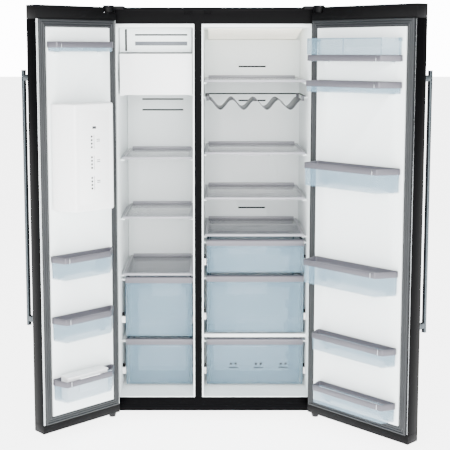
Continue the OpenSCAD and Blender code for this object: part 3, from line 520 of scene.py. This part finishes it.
class StageOperator(bpy.types.Operator):
    """Makes the camera, the floor and the studio light"""

    bl_idname = "fridge.stage"
    bl_label = "Stage"

    # soft boxes, each as (name, place, side length in metres, power in watts)
    LIGHTS = (
        ("key_light", (-1.5, -4.2, 3.0), 2.4, 190),
        ("fill_light", (1.6, -4.4, 2.2), 2.4, 160),
        ("low_light", (0.0, -4.6, 0.7), 1.8, 80),
        ("front_light", (0.0, -4.8, 1.9), 1.4, 90),
        ("rim_light", (0.6, 3.4, 3.4), 2.0, 60),
    )
    AIM = Vector((0, 0.2, 0.9))  # middle of the cabinet's front half
    FLOOR_HALF = 60
    WORLD_LIGHT, WORLD_SEEN = 0.32, 14.0  # strength on the object, and as a backdrop

    def execute(self, context):
        self.camera(context.scene)
        self.floor(context.scene)
        self.world(context.scene)
        for light in self.LIGHTS:
            self.soft_box(context.scene, *light)
        return {"FINISHED"}

    def camera(self, scene):
        sizes = scene.fridge_sizes
        data = bpy.data.cameras.new("camera")
        data.lens = sizes.camera_lens
        data.sensor_width = 36
        data.shift_x = 0.025
        data.shift_y = -0.125
        camera = bpy.data.objects.new("camera", data)
        camera.location = (0.0, -sizes.camera_distance, sizes.camera_height)
        camera.rotation_euler = (math.pi / 2 - sizes.camera_tilt, 0, 0)
        scene.collection.objects.link(camera)
        scene.camera = camera

    def floor(self, scene):
        mesh = bpy.data.meshes.new("floor")
        bm = bmesh.new()
        bmesh.ops.create_grid(bm, x_segments=1, y_segments=1, size=self.FLOOR_HALF)
        bm.to_mesh(mesh)
        bm.free()
        # matt white paint with its own glow, still darker than the backdrop behind it
        mesh.materials.append(finish(
            "matt_studio_floor", "#F8F8F8", 0.01, 0.4, 0.8, 0.05, Specular_IOR_Level=0.1,
            Emission_Color=linear("#FFFFFF"), Emission_Strength=5.0))
        floor = bpy.data.objects.new("floor", mesh)
        scene.collection.objects.link(floor)

    def world(self, scene):
        """A backdrop that looks white and lights the object much less than it shows."""
        world = bpy.data.worlds.new("studio")
        world.use_nodes = True
        tree = world.node_tree
        seen = add_node(tree, "ShaderNodeLightPath", {}).outputs["Is Camera Ray"]
        strength = add_node(tree, "ShaderNodeMapRange", {
            "Value": seen, "To Min": self.WORLD_LIGHT, "To Max": self.WORLD_SEEN})
        background = tree.nodes["Background"]
        background.inputs["Color"].default_value = linear("#FDFDFF")
        tree.links.new(strength.outputs["Result"], background.inputs["Strength"])
        scene.world = world

    def soft_box(self, scene, name, spot, size, power):
        data = bpy.data.lights.new(name, "AREA")
        data.size = size
        data.energy = power
        light = bpy.data.objects.new(name, data)
        light.location = spot
        light.rotation_euler = (self.AIM - Vector(spot)).to_track_quat("-Z", "Y").to_euler()
        scene.collection.objects.link(light)


class CabinetOperator(bpy.types.Operator):
    """Makes the case, front frame, base, feet, hinges and rear panel"""

    bl_idname = "fridge.cabinet"
    bl_label = "Cabinet"

    def execute(self, context):
        refine("outer_case", "steel", 0.45, 2)
        refine("front_frame", "steel", 0.6, 2, joined=False)
        refine("base_frame", "steel", 0.6)
        refine("hinge_brackets", "hinge", 0.6)
        refine("hinge_covers", "black", 1.6, 3)
        refine("machine_cover", "grey", 0.4)
        refine("rear_connections", "nylon", 0.5)
        refine("foot_left", "rubber", 1.5, 3)
        refine("foot_right", "rubber", 1.5, 3)
        refine("rear_rollers", "nylon", 0.8)
        paint("insulation", "foam")
        self.rear_panel()
        return {"FINISHED"}

    def rear_panel(self):
        """Zinc sheet with pressed stiffening ribs and its edge screws."""
        low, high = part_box("rear_panel")
        maker = Maker("rear_panel_skin")
        sheet = FINISHES["zinc_sheet"]
        maker.node("rear_panel", sheet, 0.0003)
        for x in (-0.3, 0.0, 0.3):
            maker.block((x - 0.02, high.y - 0.0004, low.z + 0.12),
                        (x + 0.02, high.y + 0.0022, high.z - 0.12), sheet, 0.002, 3)
        for x in (low.x + 0.012, high.x - 0.012):
            for k in range(6):
                z = low.z + 0.04 + k * (high.z - low.z - 0.08) / 5
                maker.tube((x, high.y - 0.0005, z), (x, high.y + 0.0022, z), 0.0045,
                           FINISHES["zinc"], 16, 0.0008)
        maker.build("cabinet", slot_of("rear_panel"), "rear_panel")


class MachineOperator(bpy.types.Operator):
    """Gives the compressor, heat exchangers and fans their finishes"""

    bl_idname = "fridge.machine"
    bl_label = "Machine compartment"

    def execute(self, context):
        refine("compressor", "shell", 1.2, 2)
        refine("condenser_fan", "black", 0.4)
        refine("evaporator_fan", "nylon", 0.4)
        paint("condenser", "fins")
        paint("evaporator", "fins")
        return {"FINISHED"}


class LinerOperator(bpy.types.Operator):
    """Makes the two liners, duct covers, lamp and ice maker"""

    bl_idname = "fridge.liners"
    bl_label = "Liners and ducts"

    def execute(self, context):
        refine("freezer_liner", "liner", 1.2, 2, joined=False)
        refine("fridge_liner", "liner", 1.2, 2, joined=False)
        for node in ("freezer_duct_cover", "fridge_duct_cover"):
            self.slotted_with_painted_shade(node, 0.0043, 0.006, 0.003)
        self.slotted_with_painted_shade("ice_maker", 0.0085, 0.0098, 0.0)
        refine("lamp_cover", "lamp", 0.8)
        refine("ice_bin", "white", 2.0, 3, joined=False)
        self.drawer_clips()
        return {"FINISHED"}

    def slotted_with_painted_shade(self, node, near, far, overlap):
        """A panel with painted shade in its slots: a dark block behind each opening, from near to
        far behind its front.
        """
        maker = Maker(node + "_panel")
        maker.node(node, FINISHES["pale"], 0.001)
        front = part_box(node)[0].y
        for x0, x1, z0, z1 in front_openings(node):
            # painted shade: a black block behind each narrow slot, a grey one behind each wide
            # opening
            narrow = min(x1 - x0, z1 - z0) < 12 * MM
            maker.block((x0 - overlap, front + near, z0 - overlap),
                        (x1 + overlap, front + far, z1 + overlap),
                        FINISHES["black" if narrow else "grey"], 0.0002)
        maker.build("cabinet", slot_of(node), node)

    def drawer_clips(self):
        """White stops with a dark release tab, on the walls beside the drawers' fronts."""
        # a shelf of each side, with the room between its left and right edges and the walls
        walls = {"freezer": ("freezer_shelf_upper", 10 * MM, 5 * MM),
                 "fridge": ("fridge_shelf_top", 5 * MM, 10 * MM)}
        spare = 2 * MM
        maker = Maker("drawer_clips")
        for node in DRAWERS:
            shelf, left_room, right_room = walls[node.split("_")[0]]
            shelf_low, shelf_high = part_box(shelf)
            low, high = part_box(node)
            z = low.z + 0.22 * (high.z - low.z)
            for x0, x1 in ((shelf_low.x - left_room, low.x - spare),
                           (high.x + spare, shelf_high.x + right_room)):
                maker.block((x0, low.y + 0.012, z), (x1, low.y + 0.03, z + 0.03),
                            FINISHES["white"], 0.0012)
                tab = x0 + (x1 - x0) * 0.75
                maker.block((x0, low.y + 0.016, z + 0.0305), (tab, low.y + 0.026, z + 0.046),
                            FINISHES["black"], 0.0012)
        maker.build("cabinet", "white_plastic")


class ShelfOperator(bpy.types.Operator):
    """Makes the glass shelves with their rims, and the bottle rack"""

    bl_idname = "fridge.shelves"
    bl_label = "Shelves and bottle rack"

    def shelf(self, maker, low, high, grip=False):
        """Glass pane in a moulded rim, with an upstand along its rear edge."""
        rim, glass = FINISHES["rim"], FINISHES["shelf"]
        rail, upstand = 14 * MM, 10 * MM
        top = high.z - upstand
        under = top - 0.011
        # the pane in the grey shelf glass, its grey a painted reflection
        maker.block((low.x + 0.012, low.y + 0.012, top - 0.004),
                    (high.x - 0.012, high.y - 0.006, top - 0.0003), glass, 0.0008)
        maker.block((low.x, low.y, under), (high.x, low.y + 0.016, top), rim, 0.003, 3)
        for x0, x1 in ((low.x, low.x + rail), (high.x - rail, high.x)):
            maker.block((x0, low.y + 0.01, under), (x1, high.y, top), rim, 0.002)
        maker.block((low.x + 0.01, high.y - rail, under), (high.x - 0.01, high.y, top), rim, 0.002)
        maker.block((low.x + rail, high.y - 0.008, top - 0.002),
                    (high.x - rail, high.y, high.z), rim, 0.002)
        if grip:
            mid, reach = (low.x + high.x) / 2, 65 * MM
            maker.block((mid - reach, low.y, under - 0.005),
                        (mid + reach, low.y + 0.018, under + 0.002), rim, 0.0025, 3)

    def execute(self, context):
        for node in ("freezer_shelf_upper", "freezer_shelf_middle", "fridge_shelf_top",
                     "fridge_shelf_upper", "fridge_shelf_middle"):
            low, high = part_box(node)
            maker = Maker(node + "_glass")
            self.shelf(maker, low, high, grip=node == "fridge_shelf_upper")
            maker.stand_for(node)
        self.fixed_shelves()
        self.bottle_rack()
        return {"FINISHED"}

    def fixed_shelves(self):
        """The two lowest shelves, one on each side of the centre wall."""
        low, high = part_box("fixed_shelves")
        freezer_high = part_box("freezer_shelf_upper")[1]
        fridge_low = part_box("fridge_shelf_top")[0]
        tall = 21 * MM
        maker = Maker("fixed_shelves_glass")
        self.shelf(maker, low, Vector((freezer_high.x, freezer_high.y, low.z + tall)))
        self.shelf(maker, Vector((fridge_low.x, low.y, high.z - tall)), high)
        maker.build("cabinet", slot_of("fixed_shelves"), "fixed_shelves")

    def bottle_rack(self):
        """Wavy rack in grey, its hooks and rod in black."""
        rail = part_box("bottle_rack")[1].z - 10.5 * MM

        def rack_finish(centre, normal):
            return FINISHES["black"] if centre.z > rail else None

        maker = Maker("bottle_rack_skin")
        maker.node("bottle_rack", FINISHES["rack"], 0.0006, 2, rack_finish)
        maker.stand_for("bottle_rack")


class DrawerOperator(bpy.types.Operator):
    """Makes the five clear drawers"""

    bl_idname = "fridge.drawers"
    bl_label = "Drawers"

    def drawer(self, node):
        """Clear tub behind a clear front panel, with a bull-nosed grip across its top."""
        low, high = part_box(node)
        front = low.y + 6 * MM
        maker = Maker(node + "_tub")
        self.tub(maker, low, high, front)
        self.edges(maker, low, high, front)
        if node == "fridge_drawer_middle":
            self.vents(maker, low, high)
        self.grip(maker, low, high)
        if node == "fridge_drawer_lower":
            self.marks(maker, low, high, front)
            mid = (low.x + high.x) / 2
            maker.block((mid, front + 0.009, low.z + 0.003),
                        (mid + WALL, high.y - 0.003, high.z - 0.06), FINISHES["tub"], 0.0008)
        maker.stand_for(node)

    def tub(self, maker, low, high, front):
        """The tub, its side lips and its front panel."""
        corner = bpy.context.scene.fridge_sizes.corner_round
        side, lip = 10 * MM, 8 * MM
        maker.tub(rectangle(low.x + side, front + 0.005, high.x - side, high.y),
                  low.z, high.z - lip, FINISHES["tub"], corner=corner * 1.5, draft=0.003)
        # side lips in the darker edge copy of the clear plastic: painted shade
        for x0, x1 in ((low.x, low.x + 0.0115), (high.x - 0.0115, high.x)):
            maker.block((x0, front + 0.006, high.z - 0.012), (x1, high.y, high.z - lip),
                        FINISHES["tub_edge_shade"], 0.0012)
        maker.block((low.x, front + 0.001, low.z + 0.002),
                    (high.x, front + 0.005, high.z - 0.002), FINISHES["tub"], 0.0015)

    def edges(self, maker, low, high, front):
        """Thick moulded edges in a darker, more opaque copy of the clear plastic: painted shade
        that makes them darker than the clear walls between them.
        """
        edge = FINISHES["tub_edge_shade"]
        for z0, z1 in ((low.z + 0.002, low.z + 0.006), (high.z - 0.033, high.z - 0.027)):
            maker.block((low.x + 0.001, front - 0.0005, z0),
                        (high.x - 0.001, front + 0.0055, z1), edge, 0.0012)
        for x in (low.x + 0.003, high.x - 0.003):
            maker.block((x - 0.002, front - 0.0005, low.z + 0.002),
                        (x + 0.002, front + 0.0055, high.z - 0.027), edge, 0.0012)
        # lower and rear edges, seen through the front, in the same painted shade
        z0, z1, rear = low.z + 0.0035, low.z + 0.0065, high.y - 0.003
        for x in (low.x + 0.0145, high.x - 0.0145):
            maker.block((x - 0.0015, front + 0.012, z0), (x + 0.0015, rear - 0.001, z1),
                        edge, 0.0008)
            maker.block((x - 0.002, rear - 0.002, z0), (x + 0.002, rear, high.z - 0.014),
                        edge, 0.0008)
        maker.block((low.x + 0.014, rear - 0.002, z0), (high.x - 0.014, rear, z1), edge, 0.0008)

    def grip(self, maker, low, high):
        """Bull-nosed grip: an arc over the front, hollow behind."""
        band = FINISHES["band"]
        rise, depth, wall, steps = 27 * MM, 12 * MM, 2 * MM, 10
        arc = [(low.y + depth * (1 - math.sin(math.pi * (0.12 + 0.38 * k / steps))),
                high.z - rise * (1 - math.cos(math.pi / 2 * k / steps))) for k in range(steps + 1)]
        inner = [(y + wall, z - wall * (k < steps)) for k, (y, z) in enumerate(arc)]
        profile = [(low.y + depth, high.z), *arc, *inner[::-1], (low.y + depth, high.z - wall)]
        maker.loft([(profile, low.x), (profile, high.x)], band, axes="yzx")
        maker.block((low.x, low.y + 0.0085, high.z - rise),
                    (high.x, low.y + depth, high.z - 0.0005), band, 0.0012)

    def vents(self, maker, low, high):
        """Row of upright air slots along the drawer's rear wall, each a grey block: painted shade
        where the opening is.
        """
        margin, pitch, half_tall = 30 * MM, 12.5 * MM, 20 * MM
        z = low.z + 0.55 * (high.z - low.z)
        for k in range(int((high.x - low.x - 2 * margin) / pitch)):
            x = low.x + margin + k * pitch
            # a grey block in each slot: painted shade
            maker.block((x, high.y - 0.0045, z - half_tall),
                        (x + pitch * 0.45, high.y - 0.003, z + half_tall), FINISHES["grey"], 0.0004)

    def marks(self, maker, low, high, front):
        """Three plain setting marks printed on the drawer's front, two dots over a bar each."""
        ink, skin = FINISHES["print"], front - 0.0004
        z = low.z + 0.45 * (high.z - low.z)
        for k in range(3):
            x = low.x + (high.x - low.x) * (0.25 + 0.26 * k)
            for dot in (x, x + 22 * MM):
                maker.tube((dot, front + 0.0012, z), (dot, skin, z), 0.0055, ink, 12)
            maker.block((x - 0.01, skin, z - 0.02), (x + 0.032, front + 0.001, z - 0.0165),
                        ink, 0.0002)

    def execute(self, context):
        for node in DRAWERS:
            self.drawer(node)
        return {"FINISHED"}


class DoorOperator(bpy.types.Operator):
    """Makes the two doors with their end caps, liners, seals and handles"""

    bl_idname = "fridge.doors"
    bl_label = "Doors"

    # the gasket's section: inward from its outer edge, and out of the door, in millimetres
    GASKET = (
        (0.0, 0.0002), (0.0, 6.0), (1.2, 8.8), (3.6, 10.3), (6.5, 10.3), (8.8, 8.6), (10.0, 7.2),
        (11.4, 8.4), (13.2, 9.6), (15.6, 9.6), (17.4, 8.4), (18.8, 7.2), (20.4, 8.8),
        (23.0, 10.3), (26.2, 10.1), (28.6, 8.4), (30.0, 5.6), (30.0, 0.0002))

    def skin(self, side, place, seal_low, seal_high):
        """Glass front, steel sides, black end caps, and the trim strip along the free edge."""
        f, node = FINISHES, side + "_door_shell"
        low, high = local_box(node, place)
        pane = low.y + 3 * MM

        def shell_finish(centre, normal):
            if centre.z > seal_high.z or centre.z < seal_low.z:
                return f["black"]
            return f["glass"] if centre.y < pane else f["steel"]

        maker = Maker(side + "_door_skin", place)
        maker.node(node, f["steel"], 0.0012, 2, shell_finish)
        maker.build(side + "_door", slot_of(node), node)
        paint(side + "_door_core", "foam")

        maker = Maker(side + "_door_trim", place)
        maker.block((high.x - 0.0062, -0.001, seal_low.z + 0.004),
                    (high.x - 0.0032, 0.0007, seal_high.z - 0.004), f["trim"], 0.0006)
        maker.build(side + "_door", "brushed_handle")

    def lining(self, side, place):
        """The formed liner, its flat flange in the door's own black."""
        f, node, flange = FINISHES, side + "_door_liner", 0.4 * MM

        def liner_finish(centre, normal):
            return f["black"] if centre.y < flange and normal.y > -0.5 else None

        maker = Maker(side + "_door_lining", place)
        maker.node(node, f["liner"], 0.003, 3, liner_finish)
        maker.build(side + "_door", slot_of(node), node)

    def gasket(self, side, place, low, high):
        """The magnetic seal, its bellows folded round the whole door."""
        node = side + "_door_seal"
        outline = rectangle(low.x, low.z, high.x, high.z)
        maker = Maker(side + "_door_gasket", place)
        maker.loft([(inset_outline(outline, inset * MM), out * MM) for inset, out in self.GASKET],
                   FINISHES["seal"], closed=True, axes="xzy")
        maker.build(side + "_door", slot_of(node), node)

    def handle(self, side, place):
        """Brushed bar with end caps, on two posts with zinc feet."""
        f, node = FINISHES, side + "_door_handle"
        low, high = local_box(node, place)
        deep, proud, post = 14 * MM, 0.2 * MM, 24 * MM
        maker = Maker(side + "_door_bar", place)
        maker.block(low, (high.x, low.y + deep, high.z), f["brushed"], 0.0035, 4)
        for z0, z1 in ((low.z - proud, low.z + 0.004), (high.z - 0.004, high.z + proud)):
            maker.block((low.x - proud, low.y - proud, z0),
                        (high.x + proud, low.y + deep + proud, z1), f["grey"], 0.003, 3)
        for z in (low.z + 0.018, high.z - 0.042):
            maker.block((low.x + 0.001, low.y + 0.012, z), (high.x - 0.001, high.y, z + post),
                        f["brushed"], 0.003, 3)
            maker.block((low.x - 0.0001, high.y - 0.003, z - 0.003),
                        (high.x + 0.0001, high.y - 0.0001, z + post + 0.003), f["zinc"], 0.0012)
        maker.build(side + "_door", slot_of(node), node)

    def execute(self, context):
        for side in DOORS:
            place = door_place(DOORS[side])
            seal_low, seal_high = local_box(side + "_door_seal", place)
            self.skin(side, place, seal_low, seal_high)
            self.lining(side, place)
            self.gasket(side, place, seal_low, seal_high)
            self.handle(side, place)
        return {"FINISHED"}


class DispenserOperator(bpy.types.Operator):
    """Makes the ice and water dispenser"""

    bl_idname = "fridge.dispenser"
    bl_label = "Dispenser"

    def execute(self, context):
        place = door_place(DOORS["freezer"])
        low, high = local_box("dispenser_housing", place)
        face_0, face_1 = low.x + 66 * MM, high.x - 46 * MM
        self.hood(place, low, high, face_0, face_1)
        self.face(place, low, high, face_0, face_1)
        maker = Maker("dispenser_recess", place)
        maker.node("dispenser_niche", FINISHES["black"], 0.0008, 2)
        maker.build("freezer_door", slot_of("dispenser_niche"), "dispenser_niche")
        refine("dispenser_paddle", "grey", 0.8, 3)
        return {"FINISHED"}

    def hood(self, place, low, high, face_0, face_1):
        """Moulded housing with slanting sides and soft corners, open towards the door."""
        corner, wall, open_back = 14 * MM, 2.5 * MM, low.y + 15.5 * MM
        outline = [(low.x, low.y), (high.x, low.y), (face_1, high.y), (face_0, high.y)]
        levels = []
        for inset, lift in ((0.007, 0.0), (0.003, 0.0012), (0.0008, 0.004), (0.0, 0.008)):
            levels.append((fillet_outline(inset_outline(outline, inset), corner, 5), low.z + lift))
        levels += [(points, low.z + high.z - z) for points, z in reversed(levels)]
        maker = Maker("dispenser_hood", place)
        maker.loft(levels, FINISHES["white"])
        back = [face for face in maker.bm.faces
                if all(v.co.y < open_back for v in face.verts) and face.normal.y < -0.9]
        bmesh.ops.delete(maker.bm, geom=back, context="FACES")
        hood = maker.build("freezer_door", slot_of("dispenser_housing"), "dispenser_housing")
        walls = hood.modifiers.new("walls", "SOLIDIFY")
        walls.thickness = wall
        walls.offset = -1

    def face(self, place, low, high, face_0, face_1):
        """Front panel of the hood with its plain key: dots, a rule and short bars."""
        white, ink = FINISHES["white"], FINISHES["print"]
        mid, skin, proud = (face_0 + face_1) / 2, high.y, high.y + 0.8 * MM
        maker = Maker("dispenser_face", place)
        maker.block((face_0 + 0.022, skin - 0.001, low.z + 0.03),
                    (face_1 - 0.022, skin + 0.0005, high.z - 0.03), white, 0.0006)
        for group in range(3):
            top = high.z - 0.13 - group * 0.082
            dot = mid + 14 * MM
            for z in (top - k * 0.014 for k in range(4)):
                maker.tube((dot, skin, z), (dot, proud, z), 0.0045, ink, 16)
            maker.block((mid + 0.002, skin, top - 0.05), (mid + 0.0035, proud, top + 0.006),
                        ink, 0.0002)
            for z in (top - 0.014, top - 0.021):
                maker.block((mid - 0.026, skin, z), (mid - 0.01, proud, z + 0.003), ink, 0.0002)
        maker.block((mid - 0.008, skin, high.z - 0.1), (mid + 0.01, proud, high.z - 0.09),
                    ink, 0.0002)
        maker.build("freezer_door", slot_of("dispenser_housing"))


class BinOperator(bpy.types.Operator):
    """Makes the door bins and the dairy box"""

    bl_idname = "fridge.bins"
    bl_label = "Door bins"

    # run of each slanting end in millimetres, at the hinge edge and at the free edge
    CUTS = {
        "freezer_bin_1": (10, 16), "freezer_bin_2": (56, 18), "freezer_bin_3": (56, 18),
        "freezer_bin_4": (56, 18), "fridge_bin_1": (6, 46), "fridge_bin_2": (6, 46),
        "fridge_bin_3": (6, 46), "fridge_bin_4": (14, 24), "fridge_bin_5": (14, 24),
        "dairy_box": (6, 46),
    }

    def outline(self, node, low, high):
        """Straight back and slanting ends, without the band's stand-out."""
        start_cut, end_cut = (run * MM for run in self.CUTS[node])
        s0, s1 = low.x + BAND_PROUD, high.x - BAND_PROUD
        e0, e1 = low.y + BAND_PROUD, high.y - BAND_PROUD
        bend = e0 + 14 * MM
        return [(s0, e0), (s1, e0), (s1, bend), (s1 - end_cut, e1), (s0 + start_cut, e1),
                (s0, bend)]

    def tray(self, node, place, top=None):
        """Clear tray with a satin band round its rim and the seam where the band's ends meet."""
        f = FINISHES
        low, high = local_box(node, place)
        top = top or high.z
        under = top - BAND
        outline = self.outline(node, low, high)
        corner = bpy.context.scene.fridge_sizes.corner_round
        maker = Maker(node + "_tray", place)
        maker.tub(outline, low.z, top - 0.001, f["tub"], draft=0.002)

        def at(inset):
            return fillet_outline(inset_outline(outline, inset), max(corner - inset, 0.001))

        maker.loft([(at(-0.0002), under), (at(-0.0012), under + 0.0004),
                    (at(-BAND_PROUD), under + 0.0015), (at(-BAND_PROUD), top - 0.002),
                    (at(-0.0008), top - 0.0004), (at(0.0006), top), (at(0.0022), top - 0.0002),
                    (at(0.003), top - 0.0015), (at(0.003), under)], f["band"], closed=True)
        front = high.y - BAND_PROUD
        seam = outline[3][0] - 22 * MM
        maker.block((seam, front - 0.0005, under + 0.001),
                    (seam + 0.0022, front + 0.0017, top - 0.0015), f["trim"], 0.0004)
        return maker, outline

    def dairy(self, place):
        """The banded tray with its two ears, and the clear flap that closes it."""
        tub, edge = FINISHES["tub"], FINISHES["tub_edge_shade"]
        flap_low, flap_high = local_box("dairy_flap", place)
        low, high = local_box("dairy_box", place)
        maker, outline = self.tray("dairy_box", place, flap_low.z - 0.001)
        back = outline[0][1]
        for s in (outline[0][0] + 0.006, outline[1][0] - 0.009):
            maker.block((s, back, low.z + WALL), (s + 0.003, back + 0.014, high.z), tub, 0.0008)
        maker.stand_for("dairy_box")

        maker = Maker("dairy_flap_skin", place)
        maker.node("dairy_flap", tub, 0.0006)
        # ribs and top edge of the flap in the darker edge copy of the clear plastic: painted shade
        start, end, face = flap_low.x + 0.006, flap_high.x - 0.046, flap_high.y
        for s in (start, (start + end) / 2, end):
            maker.block((s, face - 0.0022, flap_low.z + 0.001),
                        (s + 0.002, face - 0.0002, flap_high.z - 0.001), edge, 0.0004)
        maker.block((start, face - 0.0024, flap_high.z - 0.004),
                    (end, face - 0.0001, flap_high.z - 0.0005), edge, 0.0008)
        maker.stand_for("dairy_flap")

    def lidded_bin(self, place):
        """The lowest freezer bin, a white lidded tray in it and a scoop inside its front."""
        node, white = "freezer_bin_4", FINISHES["white"]
        low, high = local_box(node, place)
        maker, _ = self.tray(node, place, high.z - 0.012)
        x0, y0, x1, y1 = low.x + 0.0675, low.y + 0.0095, high.x - 0.0335, high.y - 0.0155
        maker.tub(rectangle(x0, y0, x1, y1), low.z + 0.003, high.z - 0.004, white, corner=0.006)
        maker.block((x0 - 0.001, y0 - 0.001, high.z - 0.005), (x1 + 0.001, y1 + 0.001, high.z),
                    white, 0.002, 3)
        # the scoop hangs inside the front wall, its clip over the band
        front, axis = high.y - 0.0035, high.z - 0.058
        start, end = (x0 + x1) / 2 - 50 * MM, (x0 + x1) / 2 + 50 * MM
        maker.tube((start, front - 0.015, axis), (end, front - 0.015, axis), 0.013, white,
                   32, 0.002)
        maker.block((start, front - 0.006, high.z - 0.06), (end, front - 0.002, high.z - 0.012),
                    white, 0.001)
        maker.block((start, front - 0.02, high.z - 0.0125), (end, high.y + 0.0005, high.z - 0.009),
                    white, 0.0012)
        maker.stand_for(node)

    def execute(self, context):
        places = {side: door_place(joint) for side, joint in DOORS.items()}
        for node in self.CUTS:
            place = places["freezer" if node.startswith("freezer") else "fridge"]
            if node == "freezer_bin_4":
                self.lidded_bin(place)
            elif node == "dairy_box":
                self.dairy(place)
            else:
                self.tray(node, place)[0].stand_for(node)
        return {"FINISHED"}


class FridgePanel(bpy.types.Panel):
    """Lists the sizes, colours and steps of the refrigerator"""

    bl_idname = "VIEW3D_PT_fridge"
    bl_label = "Refrigerator"
    bl_space_type = "VIEW_3D"
    bl_region_type = "UI"
    bl_category = "Refrigerator"

    def draw(self, context):
        for group in (context.scene.fridge_sizes, context.scene.fridge_colours):
            for name in group.__annotations__:
                self.layout.prop(group, name)
        for step in STEPS:
            self.layout.operator(step.bl_idname)


STEPS = (StageOperator, CabinetOperator, MachineOperator, LinerOperator, ShelfOperator,
         DrawerOperator, DoorOperator, DispenserOperator, BinOperator)


def register():
    for kind in (FridgeSizes, FridgeColours, *STEPS, FridgePanel):
        bpy.utils.register_class(kind)
    bpy.types.Scene.fridge_sizes = bpy.props.PointerProperty(type=FridgeSizes)
    bpy.types.Scene.fridge_colours = bpy.props.PointerProperty(type=FridgeColours)


def unregister():
    del bpy.types.Scene.fridge_sizes
    del bpy.types.Scene.fridge_colours
    for kind in (FridgePanel, *reversed(STEPS), FridgeColours, FridgeSizes):
        bpy.utils.unregister_class(kind)


def main():
    register()
    FINISHES.update(make_finishes())
    for step in STEPS:
        group, name = step.bl_idname.split(".")
        getattr(getattr(bpy.ops, group), name)()


if __name__ == "__main__":
    main()
